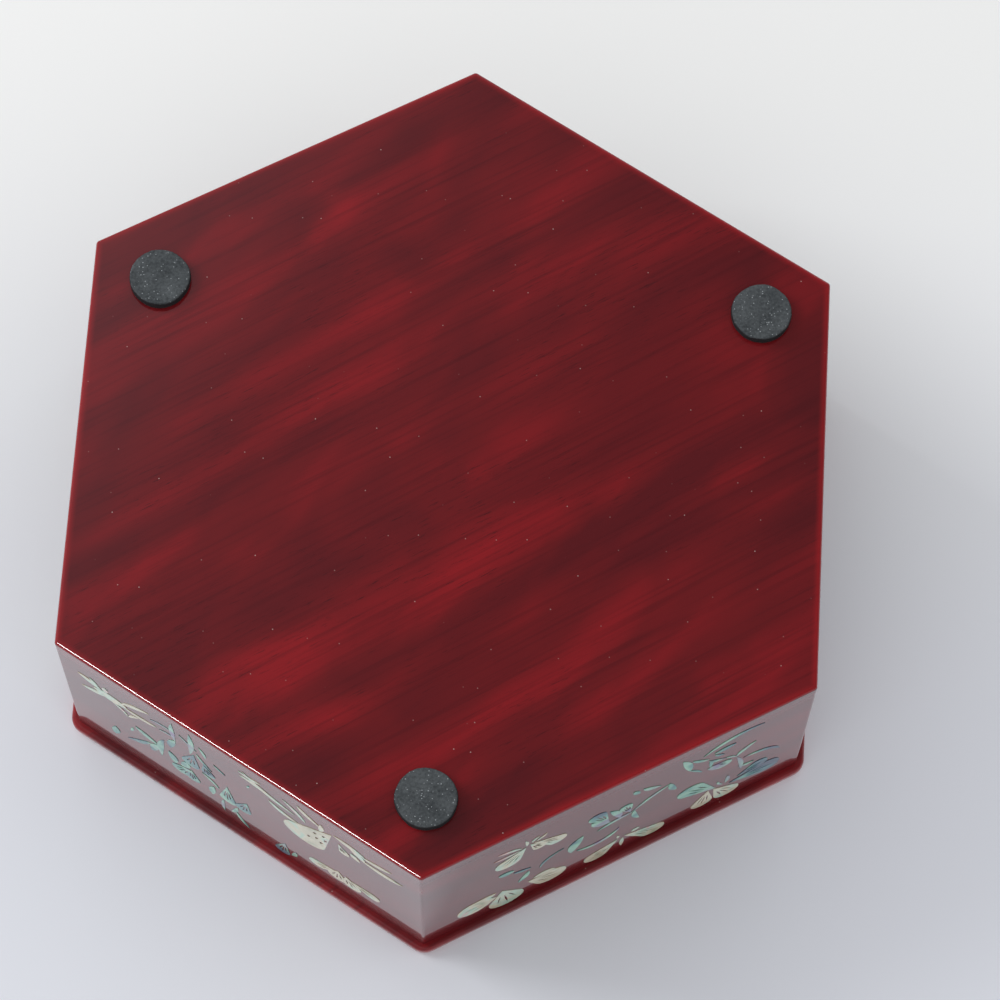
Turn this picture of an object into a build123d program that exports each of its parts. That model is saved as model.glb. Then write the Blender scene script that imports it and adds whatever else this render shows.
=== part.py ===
from build123d import *
import math
import os

# A hexagonal lacquered wooden box with a loose lid, a lift-out tray and shell inlay.
# The origin is the middle of the plane that the three feet stand on. +Z is up.
# Two of the walls face +X and -X, and the corners between walls lie on +Y and -Y.
# Lengths are in millimetres and angles in degrees.

# Box
box_width = 180.0  # from one wall to the wall opposite
box_height = 62.0  # underside of the box to the rim that the lid lies on
floor_thickness = 5.0
wall_thickness = 6.0
bottom_edge_radius = 0.8
wall_corner_radius = 1.0

# Feet
foot_diameter = 15.0
foot_height = 2.5
foot_inset = 19.2  # from the box corner to the middle of the foot
foot_edge_radius = 0.4

# Tray and the ledges under it
ledge_thickness = 4.0
ledge_height = 26.0
tray_clearance = 1.0
tray_top_gap = 0.5
tray_floor_thickness = 3.0
tray_side_thickness = 3.5
finger_notch_width = 30.0
finger_notch_depth = 9.0
finger_notch_radius = 6.0
notched_sides = ("right", "left")

# Lid
lid_thickness = 3.2
lid_overhang = 2.0
lid_corner_radius = 4.5
lid_edge_radius = 1.2
batten_width = 6.0
batten_depth = 5.0
lid_play = 1.5

# Shell inlay
shell_thickness = 0.12
vein_width = 0.5
border_width = 0.9
border_inset = 9.0  # from the lid's edge to the outer border line
border_spacing = 2.6
border_end_gap = 2.0

# The walls in turn from the one that faces +X, and the feet in turn under every other corner
wall_names = ("right", "back_right", "back_left", "left", "front_left", "front_right")
foot_names = ("right", "left", "front")

# Every other wall has the same picture, and these two have it the other way round
mirrored_walls = ("right", "left")

# Worked out from the names and sizes above
walls = {name: 60 * number for number, name in enumerate(wall_names)}
foot_corners = {name: 30 + 120 * number for number, name in enumerate(foot_names)}
box_apothem = box_width / 2
wall_length = box_width * math.tan(math.radians(30))
box_radius = wall_length
underside_z = foot_height
floor_z = underside_z + floor_thickness
rim_z = underside_z + box_height
inner_apothem = box_apothem - wall_thickness
ledge_top_z = floor_z + ledge_height
tray_apothem = inner_apothem - tray_clearance
tray_top_z = rim_z - batten_depth - tray_top_gap
lid_apothem = box_apothem + lid_overhang
lid_top_z = rim_z + lid_thickness
batten_apothem = inner_apothem - lid_play
lid_field = lid_apothem - border_inset - border_spacing - border_width / 2


def write(node, shape):
    export_step(shape, os.path.join("parts", node + ".step"))


def corner(apothem, angle):
    radius = apothem / math.cos(math.radians(30))
    return (radius * math.cos(math.radians(angle)), radius * math.sin(math.radians(angle)))


def hexagon(apothem, corner_radius=0.0):
    outline = make_face(Polyline([corner(apothem, 30 + 60 * i) for i in range(6)], close=True))
    if corner_radius:
        outline = fillet(outline.vertices(), corner_radius)
    return outline


def prism(outline, low_z, high_z):
    return extrude(Pos(0, 0, low_z) * outline, high_z - low_z)


def ring(outer_apothem, width, low_z, high_z, corner_radius=0.0):
    outline = hexagon(outer_apothem, corner_radius) - hexagon(outer_apothem - width)
    return prism(outline, low_z, high_z)


def side_of(solid, angle):
    """The sixth of a hexagonal ring that faces the angle, cut at its mitres."""
    reach = 2 * box_radius
    ends = [(reach * math.cos(math.radians(angle + turn)), reach * math.sin(math.radians(angle + turn)))
            for turn in (-30, 30)]
    wedge = make_face(Polyline([(0, 0)] + ends, close=True))
    cut = solid & prism(wedge, 0, 2 * lid_top_z)
    return cut.solids()[0]


def on_wall(angle):
    """A plane on the outside of a wall: x from its right-hand end, y up from the underside."""
    away = math.radians(angle)
    outward = Vector(math.cos(away), math.sin(away), 0)
    leftward = Vector(math.sin(away), -math.cos(away), 0)
    right_end = outward * box_apothem - leftward * (wall_length / 2) + Vector(0, 0, underside_z)
    return Plane(origin=right_end, x_dir=leftward, z_dir=-outward)


def curved_side(start, end, bow):
    chord = Vector(*end) - Vector(*start)
    sideways = Vector(-chord.Y, chord.X).normalized()
    if abs(bow) < 0.02:
        return Line(start, end)
    return ThreePointArc(start, (Vector(*start) + Vector(*end)) * 0.5 + sideways * bow, end)


def blade(x1, y1, x2, y2, width, bow=0.0):
    """A strip of shell that is pointed at both ends and bows to the left of its run."""
    sides = [curved_side((x1, y1), (x2, y2), bow + width / 2),
             curved_side((x1, y1), (x2, y2), bow - width / 2)]
    return make_face(sides)


def wing(x1, y1, x2, y2, width):
    """A drop of shell, pointed where it starts and round where it ends."""
    root, tip = Vector(x1, y1), Vector(x2, y2)
    along = (tip - root).normalized()
    across = Vector(-along.Y, along.X)
    radius = width / 2
    middle = tip - along * radius
    spread = math.asin(radius / (middle - root).length)
    touch = middle - along * (radius * math.sin(spread))
    upper = touch + across * (radius * math.cos(spread))
    lower = touch - across * (radius * math.cos(spread))
    return make_face([Line(root, upper), ThreePointArc(upper, tip, lower), Line(lower, root)])


def veined_wing(x1, y1, x2, y2, width):
    """A wing with open lines that fan out from its root."""
    root, tip = Vector(x1, y1), Vector(x2, y2)
    run = tip - root
    spread = math.degrees(math.asin(width / 2 / (run.length - width / 2)))
    shape = wing(x1, y1, x2, y2, width)
    for share in (-0.45, 0, 0.45):
        ray = run.rotate(Axis.Z, share * spread)
        start, end = root + ray * 0.3, root + ray * (0.86 - 0.3 * abs(share))
        shape -= blade(start.X, start.Y, end.X, end.Y, vein_width)
    return shape


def bead(x, y, diameter):
    return Pos(x, y) * Circle(diameter / 2)


def joined(faces):
    """Outlines that cross each other are cut from one piece of shell."""
    return (Sketch() + faces).faces()


def shell_group(faces, plane, side=1):
    solids = [extrude(plane * face, side * shell_thickness).solids()[0] for face in faces]
    return Compound(children=solids)


# Strokes are x, y of the start, x, y of the end, width and bow, on a wall 104 long and 62 high.
def fitted(strokes):
    """The strokes on this wall: they follow its length and its height."""
    across, up = wall_length / 104, box_height / 62
    thin = min(across, up)
    return [(x1 * across, y1 * up, x2 * across, y2 * up, *[size * thin for size in sizes])
            for x1, y1, x2, y2, *sizes in strokes]


def butterfly_faces():
    """White shell on the butterfly walls."""
    wings = [(27.5, 16.5, 20.8, 26, 7), (29.5, 15.5, 37.6, 24.6, 5.2), (28.6, 15.5, 32.2, 22.5, 4),
             (20, 50, 9.3, 50.5, 9), (21.5, 47, 23.3, 61, 9.5), (28.5, 50, 38.4, 56.5, 8.5),
             (53.2, 51, 45, 59.2, 6.6), (55, 50.5, 65.6, 59.8, 6.8),
             (79.5, 47.5, 85.2, 58, 7), (78, 46.5, 76.2, 58, 6)]
    strokes = [(26.5, 15.6, 20, 12.2, 1.2, 0.4), (26, 16.6, 19, 16.4, 1.1, -0.4),
               (27.6, 15.4, 27.3, 10.8, 0.9, 0.3), (29, 14.4, 31, 11.6, 0.8, -0.3),
               (30, 14.8, 33, 12, 0.9, 0.4), (19.8, 46, 12, 46.6, 3.2, -0.8),
               (53.2, 50, 53, 47.6, 0.8, 0.1), (54.6, 51.5, 54.4, 58.5, 1.2, 0.1),
               (57, 50, 59.2, 49.2, 1.6, -0.3), (30, 49, 36, 49.4, 2.4, -0.7)]
    return [veined_wing(*w) for w in fitted(wings)] + [blade(*s) for s in fitted(strokes)]


def flower_faces():
    """Green shell on the butterfly walls: a flower, its stems, a winged insect and buds."""
    wings = [(80, 47, 70.3, 35.6, 7.6), (84, 48.6, 98, 49.5, 8), (86, 46, 94, 42, 5),
             (55.8, 30, 54, 22.4, 3.6), (50, 29.5, 45.8, 18.5, 5), (77, 24.6, 82.8, 29, 4.2)]
    strokes = [(50.5, 30.5, 45.2, 24, 2.6, -0.8), (53, 31, 50, 21.5, 2.2, 0.7),
               (56.6, 31, 47, 33.6, 1.5, 0.6), (66.4, 22, 56.6, 30.6, 1.2, 0.6),
               (66.2, 22, 68.2, 29.6, 1.8, 0.4), (57, 30.6, 58.6, 39.4, 1.5, 0.7),
               (43.2, 31.6, 40.2, 42, 3.2, 0.8), (41.6, 42.6, 53.2, 39.8, 1.6, 3.6),
               (20.4, 31.6, 24.6, 33, 2.6, 0.3), (24.4, 35, 29.2, 37.4, 1.3, 0.4),
               (28.6, 40, 25.8, 46, 1.8, -0.5), (31.6, 42, 38, 34.4, 0.7, -1.6),
               (56.2, 13.8, 57.8, 17, 1.6, 0.2), (58.6, 15, 63.6, 19.4, 1.7, 0.6),
               (82, 46.6, 80.4, 42.4, 0.8, -0.4), (82.6, 46.4, 83, 40.8, 1.2, 0.4),
               (68.8, 8, 71.4, 19.4, 2.2, -0.5), (71.6, 11.6, 76.6, 17, 1.2, 0.5),
               (71.2, 19, 75, 25.6, 0.7, -0.3), (77.8, 15.6, 80.6, 18.6, 0.9, 0.3),
               (76.4, 18.6, 81, 22.8, 1.2, 0.5), (76.8, 19, 77, 24.6, 1.1, -0.3),
               (76.4, 25.4, 80.4, 30, 2.4, -0.6), (77.6, 14.2, 83.4, 13.6, 2.2, 0.3),
               (74.6, 12.4, 90.6, 7.8, 1.6, -2.4), (84.6, 27.4, 86.4, 40.2, 1.3, -0.6),
               (84.2, 26.6, 89.4, 20.6, 1.6, -0.6), (86.6, 31, 97.2, 38, 1.4, -2.0),
               (85.6, 37, 90, 38.2, 1.3, 0.5), (81, 22.8, 84.4, 26.4, 0.7, -0.3)]
    return [veined_wing(*w) for w in fitted(wings)] + [blade(*s) for s in fitted(strokes)]


def cicada_faces():
    """White shell on the flower walls: a cicada with its legs, a grasshopper and a moth."""
    body = [(78.6, 12.4, 67.4, 33.6, 12)]
    cells = [(76.4, 17.2, 75.9, 19.2, 0.9), (73.8, 19, 73.3, 21, 0.9), (76.8, 20.4, 76.3, 22.4, 0.9),
             (74.2, 22.6, 73.7, 24.6, 0.9), (71.8, 25.4, 71.3, 27.4, 0.9), (75.4, 24.6, 74.9, 26.6, 0.9)]
    wings = [(80.4, 16, 82.4, 22.6, 3), (79, 45, 71, 50, 4.6), (79.4, 43.6, 78.6, 51.6, 5.4),
             (81.6, 44, 84, 51.8, 5.6), (83, 45.4, 91.4, 47.4, 4.6)]
    strokes = [(14, 17, 5.6, 22, 2.0, -0.6), (12, 15.6, 5.4, 12.6, 2.6, 0.4), (11, 15, 9, 10.8, 1.3, 0.2),
               (13, 15, 13.4, 11.8, 1.8, 0.1), (9.6, 17, 19.4, 17, 4.6, 0.3),
               (17.6, 16.4, 26.4, 9.4, 1.8, -0.7), (17.6, 18, 28, 17, 1.8, 0.8),
               (14.6, 19, 19, 24.2, 1.1, -0.5), (19.2, 24.2, 22.6, 19.6, 1.1, -0.4),
               (52.2, 8, 58.6, 7.4, 1.6, 0.8), (52.4, 11, 60, 13, 1.8, -0.8),
               (53.4, 6.4, 68, 15.6, 2.0, 1.6), (64.8, 8, 71, 16.4, 1.5, -0.6),
               (69, 5, 75.6, 11.6, 1.8, 0.8), (75.6, 8.8, 75.2, 15, 1.6, -0.3),
               (60.4, 17, 68.6, 21.4, 2.0, 1.4), (79.2, 11.2, 88.4, 14, 2.6, -0.4),
               (87.2, 14.2, 95.6, 11.8, 2.0, 0.6), (83.4, 12.4, 88, 18, 2.4, -0.4),
               (86.8, 17, 98.6, 17, 2.4, 1.2), (84, 17.4, 86.4, 20.8, 2.0, 0.2)]
    body = wing(*fitted(body)[0]) - [blade(*c) for c in fitted(cells)]
    return [body] + [veined_wing(*w) for w in fitted(wings)] + [blade(*s) for s in fitted(strokes)]


def grass_faces():
    """Green shell on the flower walls: tall flowers, grass and small leaves."""
    wings = [(38.4, 21, 36.4, 33, 5.2), (41, 24, 42.4, 32, 4), (36, 38, 31.6, 45.4, 5.4),
             (36.4, 37.4, 36.6, 46, 4.2), (47.4, 31, 46.8, 45.4, 4.8), (53, 35.4, 51, 44.8, 4.6),
             (63.4, 50.6, 62, 60.4, 4.4)]
    strokes = [(33.2, 4.6, 33.2, 19, 1.5, 0.4), (38.2, 4.2, 37.4, 21.4, 1.7, -0.5),
               (33.2, 19, 31, 28, 2.2, 0.5), (29.4, 25, 27.6, 41, 2.0, 0.8),
               (30.2, 32.4, 31.4, 40, 2.6, -0.5), (35.6, 32.6, 33.6, 38.4, 2.6, -0.4),
               (35, 10.4, 39.6, 16, 0.8, 0.3), (40.6, 10.6, 42.2, 17, 1.0, -0.4),
               (44.4, 17.8, 47.6, 21, 0.9, 0.3), (39.4, 18, 43.4, 26, 0.9, 0.5),
               (26.4, 13.4, 32.6, 11.4, 0.8, -0.4), (28.6, 17.4, 33, 15.8, 0.7, -0.2),
               (20.6, 29.4, 27, 33.4, 2.6, 0.4), (27.2, 34, 24.6, 42, 2.4, 0.5),
               (24.4, 36.4, 16.8, 45.6, 1.6, -0.6), (13.4, 42.6, 12.4, 49.4, 2.4, -0.3),
               (19.6, 32.6, 18.6, 36.4, 0.9, -0.1), (40, 32.4, 44.6, 38, 1.2, -0.5),
               (43, 39.6, 42.2, 47.2, 2.0, 0.4), (45.4, 46, 45.2, 56, 1.0, 0.4),
               (49.6, 45.4, 47.4, 52.6, 1.2, -0.3), (49, 50, 52.4, 58.4, 1.1, 0.6),
               (54.8, 16.4, 54.2, 18.6, 0.7, 0.1), (66.4, 52.8, 65, 57.6, 1.4, -0.4)]
    return [veined_wing(*w) for w in fitted(wings)] + [blade(*s) for s in fitted(strokes)]


def mirrored(faces):
    return [face.mirror(Plane.YZ).moved(Location((wall_length, 0, 0))) for face in faces]


def turned(faces, angle):
    return [Rot(0, 0, angle) * face for face in faces]


def bloom(radius, petals, width, inner_radius, turn=0.0):
    petal = blade(inner_radius, 0, radius, 0, width)
    return [Rot(0, 0, turn + 360 * i / petals) * petal for i in range(petals)]


# The lid's design is drawn in a field 80 from its middle to its sides.
def on_lid(faces):
    """The design in this lid's field, inside the border."""
    return [face.scale(lid_field / 80) for face in joined(faces)]


def lid_flower_faces():
    rings = bloom(22, 16, 5.4, 12.5) + bloom(11.8, 10, 4.2, 6) + bloom(5.6, 5, 2.6, 2.4)
    sprigs = []
    for i in range(6):
        small = [Pos(50, 0) * petal for petal in bloom(7.4, 7, 4.4, 2.2)]
        sprigs += turned(small + [bead(50, 0, 3)], 60 * i)
    return on_lid(rings + [bead(0, 0, 3.2)] + sprigs)


def lid_leaf_faces():
    faces = []
    for i in range(6):
        spray = [blade(24, 2, 41, 1, 1.1, -1.4), blade(28, 4.4, 36, 9.4, 3.6, 0.5),
                 blade(30, -3.4, 39, -9, 3.8, -0.6), blade(58.6, 2, 69, 9, 1.0, 1.6),
                 blade(61, 8.6, 66.4, 18, 3.8, 0.6), blade(66, 3, 75, -3.6, 3.4, -0.6),
                 blade(49, 10, 52, 22, 3.4, -0.8), blade(48, -10, 54, -22, 3.4, 0.8)]
        faces += turned(spray, 60 * i)
    return on_lid(faces)


def lid_butterfly_faces():
    faces = []
    for i in range(6):
        insect = [veined_wing(0, 0, 9, 6.6, 6), veined_wing(0, 0, 9, -6.6, 6), wing(-1, 0, -5.6, 6, 4.4),
                  wing(-1, 0, -5.6, -6, 4.4), blade(1, 0.2, 9.6, 1.8, 0.6, -0.6),
                  blade(1, -0.2, 9.6, -1.8, 0.6, 0.6)]
        faces += [Rot(0, 0, 30 + 60 * i) * Pos(76, 0) * Rot(0, 0, 24) * piece for piece in insect]
    return on_lid(faces)


def lid_border_faces():
    faces = []
    for line in range(2):
        apothem = lid_apothem - border_inset - line * border_spacing
        length = 2 * apothem * math.tan(math.radians(30)) - 2 * border_end_gap
        strip = Pos(apothem, 0) * Rectangle(border_width, length)
        faces += [Rot(0, 0, angle) * strip for angle in walls.values()]
    return joined(faces)


def make_box():
    bottom = prism(hexagon(box_apothem, wall_corner_radius), underside_z, floor_z)
    low_edges = bottom.edges().group_by(Axis.Z)[0]
    write("bottom_panel", fillet(low_edges, bottom_edge_radius))
    wall_ring = ring(box_apothem, wall_thickness, floor_z, rim_z, wall_corner_radius)
    ledge_ring = ring(inner_apothem, ledge_thickness, floor_z, ledge_top_z)
    for name, angle in walls.items():
        write(name + "_wall", side_of(wall_ring, angle))
        write(name + "_tray_ledge", side_of(ledge_ring, angle))


def make_feet():
    pad = Cylinder(foot_diameter / 2, foot_height, align=(Align.CENTER, Align.CENTER, Align.MIN))
    pad = fillet(pad.edges().group_by(Axis.Z)[0], foot_edge_radius)
    for name, angle in foot_corners.items():
        write(name + "_foot_pad", Rot(0, 0, angle) * Pos(box_radius - foot_inset, 0, 0) * pad)


def make_wall_shell():
    white = [joined(butterfly_faces()), joined(cicada_faces())]
    green = [joined(flower_faces()), joined(grass_faces())]
    green = [(Sketch() + mine - cut).faces() for mine, cut in zip(green, white)]
    for number, (name, angle) in enumerate(walls.items()):
        kind = number % 2
        for shell, faces in (("white_shell", white[kind]), ("green_shell", green[kind])):
            if name in mirrored_walls:
                faces = mirrored(faces)
            write(name + "_" + shell, shell_group(faces, on_wall(angle), -1))


def make_tray():
    floor = prism(hexagon(tray_apothem), ledge_top_z, ledge_top_z + tray_floor_thickness)
    write("tray_floor", floor)
    side_ring = ring(tray_apothem, tray_side_thickness, ledge_top_z + tray_floor_thickness, tray_top_z)
    opening = Rectangle(finger_notch_width, 2 * finger_notch_depth)
    opening = fillet(opening.vertices(), finger_notch_radius)
    notch = extrude(Plane.YZ * Pos(0, tray_top_z) * opening, 2 * box_radius)
    for name, angle in walls.items():
        side = side_of(side_ring, angle)
        if name in notched_sides:
            side = (side - Rot(0, 0, angle) * notch).solids()[0]
        write("tray_" + name + "_side", side)


def make_lid():
    panel = prism(hexagon(lid_apothem, lid_corner_radius), rim_z, lid_top_z)
    rims = panel.edges().group_by(Axis.Z)
    write("lid_panel", fillet(rims[0] + rims[-1], lid_edge_radius))
    batten_ring = ring(batten_apothem, batten_width, rim_z - batten_depth, rim_z)
    for name, angle in walls.items():
        write("lid_" + name + "_batten", side_of(batten_ring, angle))
    top = Plane((0, 0, lid_top_z))
    designs = {"flower": lid_flower_faces(), "leaf": lid_leaf_faces(),
               "butterfly": lid_butterfly_faces(), "border": lid_border_faces()}
    for name, faces in designs.items():
        write("lid_" + name + "_shell", shell_group(faces, top))


os.makedirs("parts", exist_ok=True)
make_box()
make_feet()
make_wall_shell()
make_tray()
make_lid()
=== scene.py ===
import math

import bmesh
import bpy
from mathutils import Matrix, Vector, noise


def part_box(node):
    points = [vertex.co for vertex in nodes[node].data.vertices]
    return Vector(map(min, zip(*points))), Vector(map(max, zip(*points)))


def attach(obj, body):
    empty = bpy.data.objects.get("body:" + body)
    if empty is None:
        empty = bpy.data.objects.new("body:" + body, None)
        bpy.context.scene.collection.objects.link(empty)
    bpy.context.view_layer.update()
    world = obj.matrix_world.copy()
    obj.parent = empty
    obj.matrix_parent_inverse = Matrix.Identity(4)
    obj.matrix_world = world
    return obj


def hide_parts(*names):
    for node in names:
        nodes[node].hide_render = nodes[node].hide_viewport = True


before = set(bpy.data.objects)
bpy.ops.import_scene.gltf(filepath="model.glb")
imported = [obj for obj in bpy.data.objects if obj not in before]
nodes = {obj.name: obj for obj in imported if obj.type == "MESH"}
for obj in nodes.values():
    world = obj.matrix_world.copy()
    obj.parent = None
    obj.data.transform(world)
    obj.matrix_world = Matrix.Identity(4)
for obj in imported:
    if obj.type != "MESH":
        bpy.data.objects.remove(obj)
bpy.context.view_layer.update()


# Measures and colours

def mm(value):
    return value / 1000


def hexColour(text):  # sRGB hex to linear
    parts = [int(text[i:i + 2], 16) / 255 for i in (1, 3, 5)]
    return tuple(p / 12.92 if p <= 0.04045 else ((p + 0.055) / 1.055) ** 2.4 for p in parts) + (1.0,)


# Shader nodes

def newMaterial(name):
    material = bpy.data.materials.new(name)
    material.use_nodes = True
    material.node_tree.nodes.clear()
    return material, material.node_tree


def addNode(tree, kind, settings=None, inputs=None, stops=()):
    # an input is a plain value, a hex colour or another node's output; stops are a colour ramp's
    node = tree.nodes.new("ShaderNode" + kind)
    for key, value in (settings or {}).items():
        setattr(node, key, value)
    for key, value in (inputs or {}).items():
        if isinstance(value, bpy.types.NodeSocket):
            tree.links.new(value, node.inputs[key])
        else:
            node.inputs[key].default_value = hexColour(value) if isinstance(value, str) else value
    while stops and len(node.color_ramp.elements) < len(stops):
        node.color_ramp.elements.new(0.5)
    for number, (place, shade) in enumerate(stops):
        element = node.color_ramp.elements[number]
        element.position = place
        element.color = hexColour(shade) if isinstance(shade, str) else (shade, shade, shade, 1)
    return node.outputs


def alongGrain(tree, position, size, turn=0.0):
    # turns a place by turn degrees about Z, and counts it in cells of size mm along each axis
    sizes = size if isinstance(size, tuple) else (size,) * 3
    turned = addNode(tree, "Mapping", inputs={"Vector": position, "Rotation": (0, 0, math.radians(turn))})[0]
    return addNode(tree, "Mapping", inputs={"Vector": turned, "Scale": [1 / mm(s) for s in sizes]})[0]


def addGrain(tree, position, size, turn=0.0, detail=2, rough=0.5, warp=0.0):
    return addNode(tree, "TexNoise", inputs={
        "Vector": alongGrain(tree, position, size, turn), "Scale": 1.0, "Detail": detail,
        "Roughness": rough, "Distortion": warp})["Fac"]


def addUp(tree, *parts):
    # each part is a pattern with its share in the sum
    total = 0.0
    for pattern, share in parts:
        total = addNode(tree, "Math", {"operation": "MULTIPLY_ADD"}, {0: pattern, 1: share, 2: total})[0]
    return total


def addMask(tree, *parts):
    # each part is a pattern with the ramp that makes a mask of it; the masks are multiplied
    mask = 1.0
    for pattern, stops in parts:
        ramp = addNode(tree, "ValToRGB", inputs={"Fac": pattern}, stops=stops)["Color"]
        mask = addNode(tree, "Math", {"operation": "MULTIPLY"}, {0: mask, 1: ramp})[0]
    return mask


def addFlatMask(tree, stops):
    # white where the surface lies flat, black where it stands upright
    normal = addNode(tree, "SeparateXYZ", inputs={"Vector": addNode(tree, "TexCoord")["Normal"]})
    flat = addNode(tree, "Math", {"operation": "ABSOLUTE"}, {0: normal["Z"]})[0]
    return addMask(tree, (flat, stops))


def layColours(tree, colour, *layers):
    # each layer is a mask and the colour that lies over those before it, as far as its mask is white
    for mask, over in layers:
        colour = addNode(tree, "Mix", {"data_type": "RGBA"}, {0: mask, 6: colour, 7: over})[2]
    return colour


def finishSurface(tree, colour, height, bump, gloss):
    # bump is its strength and the depth in mm of the pattern that makes it
    normal = addNode(tree, "Bump", inputs={
        "Height": height, "Strength": bump[0], "Distance": mm(bump[1])})["Normal"]
    surface = addNode(tree, "BsdfPrincipled", inputs={**gloss, "Base Color": colour, "Normal": normal})[0]
    addNode(tree, "OutputMaterial", inputs={"Surface": surface})


# Materials: sizes of patterns are in mm, turns in degrees. A list of pairs is a ramp over a pattern, to
# colours or to a mask's strength.

# The clear top coat is the same over the board and the walls. The lid is handled more, so its coat is
# rubbed duller.
topCoat = {"Coat Weight": 1.0, "Coat Roughness": 0.05, "Coat IOR": 1.55}
lidCoat = {"Coat Weight": 1.0, "Coat Roughness": 0.22, "Coat IOR": 1.5}

# Translucent red lacquer on the walls, laid on thick round the shell and polished: a deep red that turns
# into a mirror at a low angle.
wall = {"figure": {"size": (60.0, 60.0, 9.0), "detail": 3, "warp": 0.4},
        "colours": [(0.35, "#430A10"), (0.68, "#5E0F16")],
        "ripple": {"size": 11.0, "detail": 1}, "bump": (0.04, 0.08),
        "gloss": {"Roughness": 0.32, "Specular IOR Level": 0.05, **topCoat}}


def addWallColour(tree, position):
    figure = addGrain(tree, position, **wall["figure"])
    return addNode(tree, "ValToRGB", inputs={"Fac": figure}, stops=wall["colours"])["Color"]


def makeWall():
    material, tree = newMaterial("polishedRedLacquer")
    position = addNode(tree, "TexCoord")["Object"]
    ripple = addGrain(tree, position, **wall["ripple"])
    finishSurface(tree, addWallColour(tree, position), ripple, wall["bump"], wall["gloss"])
    return material


# The same lacquer on the boards, sprayed thinner over figured veneer and rubbed to a soft gloss. The eye
# sees broad light and dark bands of the wood under the red, streaks and open pores as fine dark lines, and
# a few specks of dust caught in the coat. On the base board a lighter red along the rims is a painted glow
# of light on the edges, and the board darkens inward of it with painted shade.
board = {
    # along the grain, across it and through the board; the bands cross the grain at a small angle
    "bands": {"size": (170.0, 26.0, 60.0), "turn": 43.0, "detail": 3, "warp": 0.5},
    "flame": {"size": (44.0, 22.0, 60.0), "turn": 50.0, "detail": 2, "warp": 0.9},
    "sway": {"size": (300.0, 60.0, 60.0), "turn": 32.0, "detail": 1},
    "stripes": {"size": 24.0, "turn": 32.0}, "stripeSway": 5.0,  # periods
    "bandShare": 0.62, "flameShare": 0.38, "stripeShare": 0.055,
    "figureColours": [(0.36, "#5A1117"), (0.5, "#6C1318"), (0.66, "#8B151C")],
    "curlSize": 85.0, "curl": 17.0,
    "streaks": {"size": (60.0, 1.4, 60.0), "turn": 32.0, "detail": 2, "rough": 0.6},
    "streakMask": [(0.48, 0.0), (0.75, 0.5)], "streakColour": "#4A0B12",
    "pores": {"size": (4.5, 0.32, 5.0), "turn": 32.0, "detail": 2, "rough": 0.6},
    "poreMask": [(0.6, 0.0), (0.72, 1.0)], "poreAndPaintedShadeColour": "#380A10", "poreDepth": 0.35,
    "poreFields": {"size": (60.0, 34.0, 60.0), "turn": 32.0, "detail": 2},
    "poreFieldMask": [(0.42, 0.12), (0.6, 0.65)],
    # in from the board's sides. The rim glow is painted light along the edges, and the shade inward of it
    # is painted shade.
    "rimOuter": 0.1, "rimInner": 2.2, "paintedRimGlowStrength": 0.62, "paintedRimGlowColour": "#A0181E",
    "paintedShadeInner": 24.0, "paintedShadeStrength": 0.2,
    "dustSpacing": 9.0, "dustMask": [(0.01, 0.9), (0.02, 0.0)], "dustKept": [(0.5, 0.0), (0.85, 1.0)],
    "dustColour": "#B89894",
    "flatMask": [(0.1, 0.0), (0.7, 1.0)], "ripple": {"size": 7.0, "detail": 2}, "bump": (0.09, 0.1),
    "gloss": {"Roughness": 0.32, "Specular IOR Level": 0.08}}


def addRimMask(tree, position, inner, outer, strength):
    # inner and outer are mm in from the nearest side of the hexagon
    reach = 0.0
    for angle in (0, 60, 120):
        facing = (math.cos(math.radians(angle)), math.sin(math.radians(angle)), 0)
        along = addNode(tree, "VectorMath", {"operation": "DOT_PRODUCT"}, {0: position, 1: facing})["Value"]
        aside = addNode(tree, "Math", {"operation": "ABSOLUTE"}, {0: along})[0]
        reach = addNode(tree, "Math", {"operation": "MAXIMUM"}, {0: reach, 1: aside})[0]
    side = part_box("bottom_panel")[1][0]
    return addNode(tree, "MapRange", {"interpolation_type": "SMOOTHSTEP"}, {
        "Value": reach, "From Min": side - mm(inner), "From Max": side - mm(outer),
        "To Max": strength})["Result"]


def addFigure(tree, position):
    # the figure curls slowly over the board
    bend = addNode(tree, "TexNoise", inputs={
        "Vector": position, "Scale": 1 / mm(board["curlSize"]), "Detail": 1.0})["Color"]
    centred = addNode(tree, "VectorMath", {"operation": "SUBTRACT"}, {0: bend, 1: (0.5, 0.5, 0.5)})[0]
    curled = addNode(tree, "VectorMath", {"operation": "MULTIPLY_ADD"}, {
        0: centred, 1: (mm(board["curl"]),) * 3, 2: position})[0]
    bands = addGrain(tree, curled, **board["bands"])
    flame = addGrain(tree, curled, **board["flame"])
    sway = addGrain(tree, curled, **board["sway"])
    across = alongGrain(tree, curled, **board["stripes"])
    periods = addNode(tree, "SeparateXYZ", inputs={"Vector": across})["Y"]
    phase = addUp(tree, (periods, 2 * math.pi), (sway, 2 * math.pi * board["stripeSway"]))
    stripes = addNode(tree, "Math", {"operation": "SINE"}, {0: phase})[0]
    figure = addUp(tree, (bands, board["bandShare"]), (flame, board["flameShare"]),
                   (stripes, board["stripeShare"]))
    return addNode(tree, "ValToRGB", inputs={"Fac": figure}, stops=board["figureColours"])["Color"]


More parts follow.
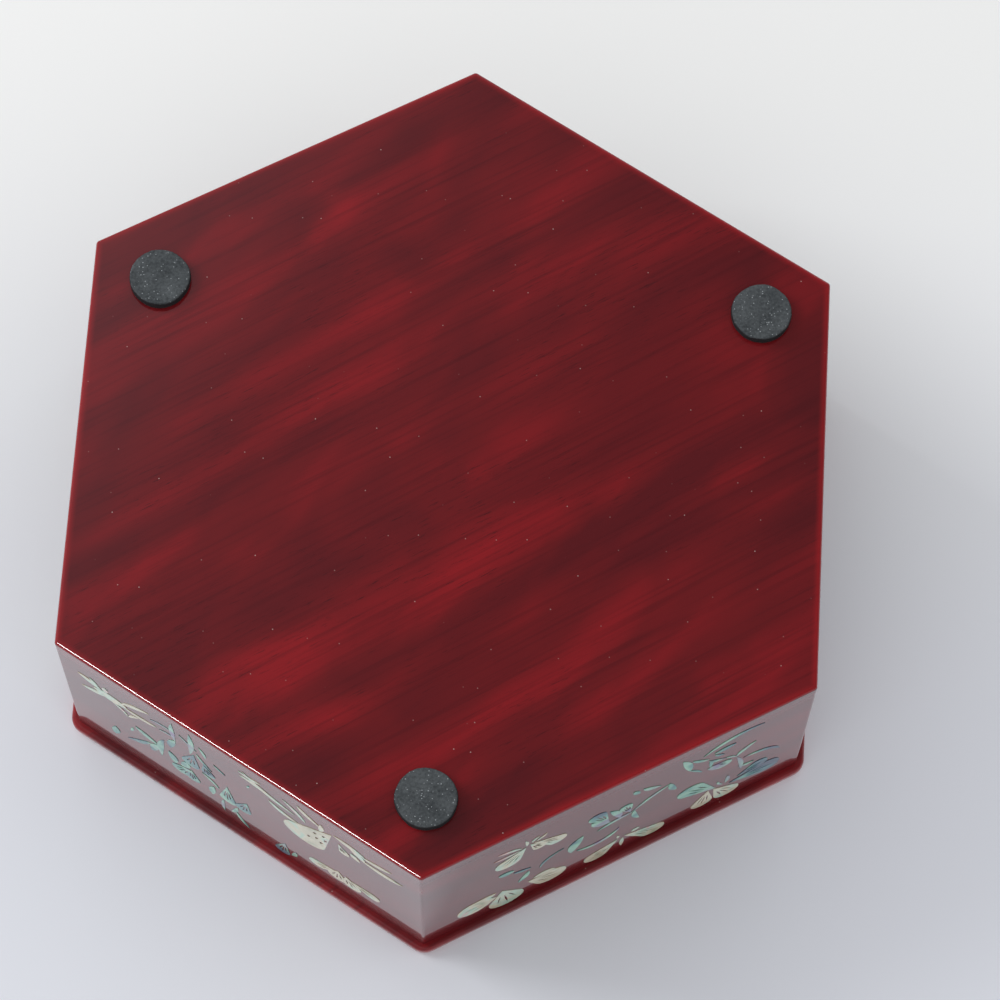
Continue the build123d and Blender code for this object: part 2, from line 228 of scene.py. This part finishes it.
def makeBoard(name, coat, isBase):
    material, tree = newMaterial(name)
    position = addNode(tree, "TexCoord")["Object"]
    streaks = addMask(tree, (addGrain(tree, position, **board["streaks"]), board["streakMask"]))
    pores = addMask(tree, (addGrain(tree, position, **board["pores"]), board["poreMask"]),
                    (addGrain(tree, position, **board["poreFields"]), board["poreFieldMask"]))
    colour = layColours(tree, addFigure(tree, position), (streaks, board["streakColour"]),
                        (pores, board["poreAndPaintedShadeColour"]))
    if isBase:
        # painted shade: the base board darkens inward of its rims
        shade = addRimMask(tree, position, board["paintedShadeInner"], board["rimInner"], board["paintedShadeStrength"])
        # painted glow of light: a lighter red along the rims of the base board
        paintedRimGlow = addRimMask(tree, position, board["rimInner"], board["rimOuter"], board["paintedRimGlowStrength"])
        colour = layColours(tree, colour, (shade, board["poreAndPaintedShadeColour"]), (paintedRimGlow, board["paintedRimGlowColour"]))
    cells = addNode(tree, "TexVoronoi", {"voronoi_dimensions": "2D"}, {
        "Vector": position, "Scale": 1 / mm(board["dustSpacing"])})
    dust = addMask(tree, (cells["Distance"], board["dustMask"]), (cells["Color"], board["dustKept"]))
    colour = layColours(tree, colour, (dust, board["dustColour"]))
    if isBase:  # its sides are finished with the walls
        flat = addFlatMask(tree, board["flatMask"])
        colour = layColours(tree, addWallColour(tree, position), (flat, colour))
    height = addUp(tree, (addGrain(tree, position, **board["ripple"]), 1.0), (pores, -board["poreDepth"]))
    finishSurface(tree, colour, height, board["bump"], {**board["gloss"], **coat})
    return material


# Satin dark lacquer inside, brushed thin over close-grained wood, with the brush's faint lines.
inside = {"lines": {"size": (80.0, 3.0, 3.0), "detail": 4, "rough": 0.55},
          "colours": [(0.3, "#2C070B"), (0.7, "#4A0D13")], "bump": (0.08, 0.1),
          "gloss": {"Roughness": 0.38, "IOR": 1.5, "Coat Weight": 0.3, "Coat Roughness": 0.2}}


def makeInside():
    material, tree = newMaterial("satinInnerLacquer")
    lines = addGrain(tree, addNode(tree, "TexCoord")["Object"], **inside["lines"])
    colour = addNode(tree, "ValToRGB", inputs={"Fac": lines}, stops=inside["colours"])["Color"]
    finishSurface(tree, colour, lines, inside["bump"], inside["gloss"])
    return material


# Nacre, cut thin, glued down and polished with the lacquer. White shell is cream and green shell teal to
# blue. The green and pink lights on white shell and the violet on green shell are painted sheen, the play
# of colour that nacre shows as light moves over it, laid out in fixed patches. Growth lines show as fine
# streaks.
nacre = {"lines": {"size": (4.0, 0.5, 1.2), "turn": 25.0, "detail": 3, "rough": 0.6, "warp": 0.6},
         "lineMask": [(0.56, 0.0), (0.74, 0.6)], "bump": (0.1, 0.04),
         "gloss": {"IOR": 1.53, "Specular IOR Level": 0.12, "Coat Weight": 0.6, "Coat Roughness": 0.06,
                   "Coat IOR": 1.5}}
whiteShell = {"name": "whiteNacre", "glow": {"size": 11.0, "detail": 2, "warp": 1.2},
              "lights": [(0.25, "#8D9D82"), (0.37, "#B4B29C"), (0.49, "#C4C0AA"), (0.59, "#A5C4B3"),
                         (0.71, "#C5ADA9")],
              "lineColour": "#8E8A6E", "roughness": 0.3}
greenShell = {"name": "greenNacre", "glow": {"size": 15.0, "detail": 2, "warp": 1.2},
              "lights": [(0.27, "#2C4059"), (0.39, "#376674"), (0.48, "#4F8C84"), (0.58, "#84B69F"),
                         (0.71, "#75688C")],
              "lineColour": "#3E4A54", "roughness": 0.28}


def makeNacre(shell):
    material, tree = newMaterial(shell["name"])
    position = addNode(tree, "TexCoord")["Object"]
    glow = addGrain(tree, position, **shell["glow"])
    # the shell's own tones, with painted sheen laid in fixed patches
    colour = addNode(tree, "ValToRGB", inputs={"Fac": glow}, stops=shell["lights"])["Color"]
    lines = addGrain(tree, position, **nacre["lines"])
    colour = layColours(tree, colour, (addMask(tree, (lines, nacre["lineMask"])), shell["lineColour"]))
    finishSurface(tree, colour, lines, nacre["bump"], {**nacre["gloss"], "Roughness": shell["roughness"]})
    return material


# Closed-cell foam rubber, die-cut from sheet: matt charcoal and pitted. Pale specks stand for glints off
# the cell walls, a painted highlight, and the upright cut edge is painted darker as shade. The cells are
# drawn coarser than real ones, so that they show.
foam = {"pits": {"size": 0.7, "detail": 3, "rough": 0.65}, "pitShare": 0.6,
        "patches": {"size": 6.0, "detail": 2}, "patchShare": 0.4,
        "colours": [(0.36, "#32373A"), (0.64, "#54595C")],
        "paintedGlintSpacing": 0.62, "paintedGlintMask": [(0.16, 0.8), (0.26, 0.0)],
        "paintedGlintKept": [(0.52, 0.0), (0.62, 1.0)], "paintedGlintColour": "#A9AFB3",
        "paintedShadeCutEdgeColour": "#1B1D1F", "flatMask": [(0.3, 0.0), (0.85, 1.0)],
        "bump": (0.5, 0.25), "gloss": {"Roughness": 0.72, "IOR": 1.5}}


def makeFoam():
    material, tree = newMaterial("charcoalFoamRubber")
    position = addNode(tree, "TexCoord")["Object"]
    pits = addGrain(tree, position, **foam["pits"])
    mottle = addUp(tree, (pits, foam["pitShare"]),
                   (addGrain(tree, position, **foam["patches"]), foam["patchShare"]))
    colour = addNode(tree, "ValToRGB", inputs={"Fac": mottle}, stops=foam["colours"])["Color"]
    cells = addNode(tree, "TexVoronoi", inputs={"Vector": position, "Scale": 1 / mm(foam["paintedGlintSpacing"])})
    # painted highlight: pale specks standing for glints off the cell walls
    paintedGlints = addMask(tree, (cells["Distance"], foam["paintedGlintMask"]), (cells["Color"], foam["paintedGlintKept"]))
    face = layColours(tree, colour, (paintedGlints, foam["paintedGlintColour"]))
    # painted shade: the upright cut edge is darker, as the pad's side stands in shade
    colour = layColours(tree, foam["paintedShadeCutEdgeColour"], (addFlatMask(tree, foam["flatMask"]), face))
    finishSurface(tree, colour, pits, foam["bump"], foam["gloss"])
    return material


print("materials")
wallMaterial = makeWall()
boardMaterial = makeBoard("glossRedLacquerOnVeneer", topCoat, True)
lidMaterial = makeBoard("glossRedLacquerOnLid", lidCoat, False)
insideMaterial = makeInside()
whiteMaterial = makeNacre(whiteShell)
greenMaterial = makeNacre(greenShell)
foamMaterial = makeFoam()


def materialFor(name):
    if name == "bottom_panel":
        return boardMaterial
    if name == "lid_panel":
        return lidMaterial
    if name.endswith("_wall"):
        return wallMaterial
    if name.endswith("white_shell") or name in ("lid_flower_shell", "lid_border_shell"):
        return whiteMaterial
    if name.endswith("_shell"):
        return greenMaterial
    if name.endswith("_pad"):
        return foamMaterial
    return insideMaterial


for name, part in nodes.items():
    part.data.materials.clear()
    part.data.materials.append(materialFor(name))


# Foot pads: worn discs with a nicked cut edge. A wave has its count round the pad and its height in mm.
pad = {"rings": 9, "sides": 72, "flatShare": 0.92, "shrink": 0.15,  # mm
       "wobble": (1.6, 0.22), "nick": (7.0, 0.1), "dip": (4.2, 0.3), "seed": (900.0, 3.7),
       # shares of the radius and of the height, over the cut edge and up to the box
       "cutEdge": [(0.955, 0.02), (0.98, 0.09), (0.993, 0.22), (1.0, 0.45), (1.0, 0.7), (0.99, 0.9),
                   (0.99, 1.0)]}


def makePad(node):
    low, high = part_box(node)
    middle = [(low[i] + high[i]) / 2 for i in range(2)]
    radius, height = (high[0] - low[0]) / 2, high[2] - low[2]
    spread, lift = pad["seed"]
    seed = Vector((middle[0] * spread, middle[1] * spread, lift))
    worn = [(ring / pad["rings"] * pad["flatShare"], 0.0) for ring in range(1, pad["rings"] + 1)]
    mesh = bpy.data.meshes.new(node + "Foam")
    shape = bmesh.new()
    centre = shape.verts.new((middle[0], middle[1], low[2]))
    rows = []
    for share, rise in worn + pad["cutEdge"]:
        row = []
        for side in range(pad["sides"]):
            turn = 2 * math.pi * side / pad["sides"]
            along = Vector((math.cos(turn), math.sin(turn), 0))
            count, depth = pad["wobble"]
            wave = noise.noise(along * count + seed) * mm(depth)
            count, depth = pad["nick"]
            nick = noise.noise(along * count + seed + Vector((0, 0, rise * 2))) * mm(depth)
            count, depth = pad["dip"]
            dip = max(0.0, noise.noise(along * share * count + seed)) * mm(depth)
            reach = (radius - mm(pad["shrink"])) * share + (wave + nick) * share ** 2
            spot = (middle[0] + along.x * reach, middle[1] + along.y * reach,
                    low[2] + rise * height + (dip if rise < 0.1 else 0))
            row.append(shape.verts.new(spot))
        rows.append(row)
    for side in range(pad["sides"]):
        after = (side + 1) % pad["sides"]
        shape.faces.new((centre, rows[0][after], rows[0][side]))
        for inner, outer in zip(rows, rows[1:]):
            shape.faces.new((inner[side], inner[after], outer[after], outer[side]))
    shape.faces.new(rows[-1])
    bmesh.ops.recalc_face_normals(shape, faces=shape.faces)
    shape.to_mesh(mesh)
    shape.free()
    for face in mesh.polygons:
        face.use_smooth = len(face.vertices) < 5  # all but the glued face
    piece = bpy.data.objects.new(node + "_foam", mesh)
    bpy.context.collection.objects.link(piece)
    piece.data.materials.append(foamMaterial)
    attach(piece, "box")
    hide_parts(node)


print("foot pads")
for name in list(nodes):
    if name.endswith("foot_pad"):
        makePad(name)


# Stage: the box stands on the floor when it is seen from above, and lies on its lid on a table when it
# is seen from below. Each sheet shows from its own side only.
stage = {"half": 6.0, "gap": 0.05, "holeInset": 1.6,  # metres, then mm
         "shadowLiftAlongX": (20.0, -130.0), "farAlongY": (-60.0, 160.0),  # mm, from none to all
         # far side, near side, shaded side. On the table the near side is darker and bluer, painted shade,
         # and the side where the box's shadow falls is lighter, painted light that lifts the shadow.
         "floor": ("#E6E7EA", "#E6E7EA", "#E6E7EA"), "table": ("#F8F9F9", "#E8EBF3", "#F0F3FC")}


def makeSheet(name, height, faceDown, colours, hole=0.0):
    material, tree = newMaterial(name + "Paper")
    far, colour, shadowLiftColour = colours
    spot = addNode(tree, "SeparateXYZ", inputs={"Vector": addNode(tree, "TexCoord")["Object"]})
    # painted light and shade: the table is lighter where the box's shadow falls and darker on the near side
    for axis, (none, full), over in (("X", stage["shadowLiftAlongX"], shadowLiftColour), ("Y", stage["farAlongY"], far)):
        mask = addNode(tree, "MapRange", {"interpolation_type": "SMOOTHSTEP"}, {
            "Value": spot[axis], "From Min": mm(none), "From Max": mm(full)})["Result"]
        colour = layColours(tree, colour, (mask, over))
    paper = addNode(tree, "BsdfDiffuse", inputs={"Color": colour})[0]
    clear = addNode(tree, "BsdfTransparent")[0]
    back = addNode(tree, "NewGeometry")["Backfacing"]
    shown = addNode(tree, "MixShader", inputs={0: back, 1: paper, 2: clear})[0]
    addNode(tree, "OutputMaterial", inputs={"Surface": shown})
    # six faces round an optional hexagonal hole
    corners = []
    for reach in (hole, stage["half"]):
        for corner in range(6):
            turn = math.radians(30 + 60 * corner)
            radius = reach / math.cos(math.radians(30))
            corners.append((radius * math.cos(turn), radius * math.sin(turn), height))
    faces = [(i, 6 + i, 6 + (i + 1) % 6, (i + 1) % 6) for i in range(6)]
    mesh = bpy.data.meshes.new(name)
    mesh.from_pydata(corners, [], [tuple(reversed(f)) if faceDown else f for f in faces])
    sheet = bpy.data.objects.new(name, mesh)
    bpy.context.collection.objects.link(sheet)
    sheet.data.materials.append(material)
    sheet.visible_shadow = False
    sheet.visible_transmission = False
    # the floor stays out of the box's own rays, because it would hide the room from the underside
    sheet.visible_glossy = hole > 0
    sheet.visible_diffuse = hole > 0
    return sheet


print("stage")
makeSheet("floorSheet", 0.0, False, stage["floor"])
lidTop = max(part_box(name)[1][2] for name in nodes if name.startswith("lid_"))
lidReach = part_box("lid_panel")[1][0]
tableSheet = makeSheet("tableSheet", lidTop + mm(stage["gap"]), True, stage["table"],
                       lidReach - mm(stage["holeInset"]))
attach(tableSheet, "lid")

# Light: keyBelow is a soft lamp at the left of the photograph's view, and windowBelow a small one that
# only the base board mirrors, as the bright line along one edge. keyAbove and fillAbove light the views
# that look down on the box. Places and sizes are in metres.
lampAim = (0, 0, 0.03)
lamps = {
    "keyBelow": {"at": (2.0, 0.7, -1.1), "side": 1.2, "watts": 28, "mirroredIn": "nothing"},
    "windowBelow": {"at": (0.82, -0.64, -1.63), "side": 0.45, "watts": 32, "mirroredIn": "bottom_panel"},
    "keyAbove": {"at": (0.9, -1.3, 1.9), "side": 1.4, "watts": 20, "mirroredIn": "everything"},
    "fillAbove": {"at": (-1.6, -0.6, 1.1), "side": 1.2, "watts": 6, "mirroredIn": "everything"}}


def makeLamp(name, spec):
    data = bpy.data.lights.new(name, "AREA")
    data.shape = "SQUARE"
    data.size = spec["side"]
    data.energy = spec["watts"]
    lamp = bpy.data.objects.new(name, data)
    if spec["mirroredIn"] == "nothing":
        lamp.visible_glossy = False
    elif spec["mirroredIn"] != "everything":  # one piece mirrors it, and it lights nothing else
        lamp.visible_diffuse = False
        receivers = bpy.data.collections.new(name + "Receivers")
        receivers.objects.link(nodes[spec["mirroredIn"]])
        lamp.light_linking.receiver_collection = receivers
    lamp.location = spec["at"]
    lamp.rotation_euler = (Vector(lampAim) - Vector(spec["at"])).to_track_quat("-Z", "Y").to_euler()
    bpy.context.collection.objects.link(lamp)


print("light")
for name, spec in lamps.items():
    makeLamp(name, spec)

# The room as the lacquer mirrors it: a pale table towards +Z, and towards -Z a dim ceiling that a window
# lights from the +X side. The stops run along tilt, from the dark side to the table.
room = {"level": 0.7, "backdrop": "#F1F2F4", "tilt": (0.6, 0.0, 1.0),
        "mirrored": [(0.03, "#58585C"), (0.06, "#7C7D83"), (0.085, "#C4C6CE"), (0.46, "#8E9096"),
                     (0.54, "#B4B6BE")]}


def makeWorld():
    world = bpy.data.worlds.new("studio")
    bpy.context.scene.world = world
    world.use_nodes = True
    tree = world.node_tree
    tree.nodes.clear()
    direction = addNode(tree, "TexCoord")["Generated"]
    height = addNode(tree, "VectorMath", {"operation": "DOT_PRODUCT"}, {
        0: direction, 1: room["tilt"]})["Value"]
    share = addNode(tree, "MapRange", inputs={"Value": height, "From Min": -1.0, "From Max": 1.0})["Result"]
    mirrored = addNode(tree, "ValToRGB", inputs={"Fac": share}, stops=room["mirrored"])["Color"]
    soft = addNode(tree, "Background", inputs={"Color": "#FFFFFF", "Strength": room["level"]})[0]
    gloss = addNode(tree, "Background", inputs={"Color": mirrored})[0]
    seen = addNode(tree, "Background", inputs={"Color": room["backdrop"]})[0]
    rays = addNode(tree, "LightPath")
    lit = addNode(tree, "MixShader", inputs={0: rays["Is Glossy Ray"], 1: soft, 2: gloss})[0]
    shown = addNode(tree, "MixShader", inputs={0: rays["Is Camera Ray"], 1: lit, 2: seen})[0]
    addNode(tree, "OutputWorld", inputs={"Surface": shown})


makeWorld()
bpy.context.scene.view_settings.view_transform = "Standard"

# Camera: the box seen from below, as the photograph shows it lying upside down. Places and lens are in
# mm, turns in degrees.
view = {"at": (-23.72, -325.1, -850.65), "turn": (-159.693, 0.511, 176.621), "lens": 137.0, "sensor": 36.0}
cameraData = bpy.data.cameras.new("photoCamera")
cameraData.lens = view["lens"]
cameraData.sensor_width = view["sensor"]
camera = bpy.data.objects.new("photoCamera", cameraData)
camera.location = [mm(v) for v in view["at"]]
camera.rotation_euler = [math.radians(v) for v in view["turn"]]
bpy.context.collection.objects.link(camera)
bpy.context.scene.camera = camera
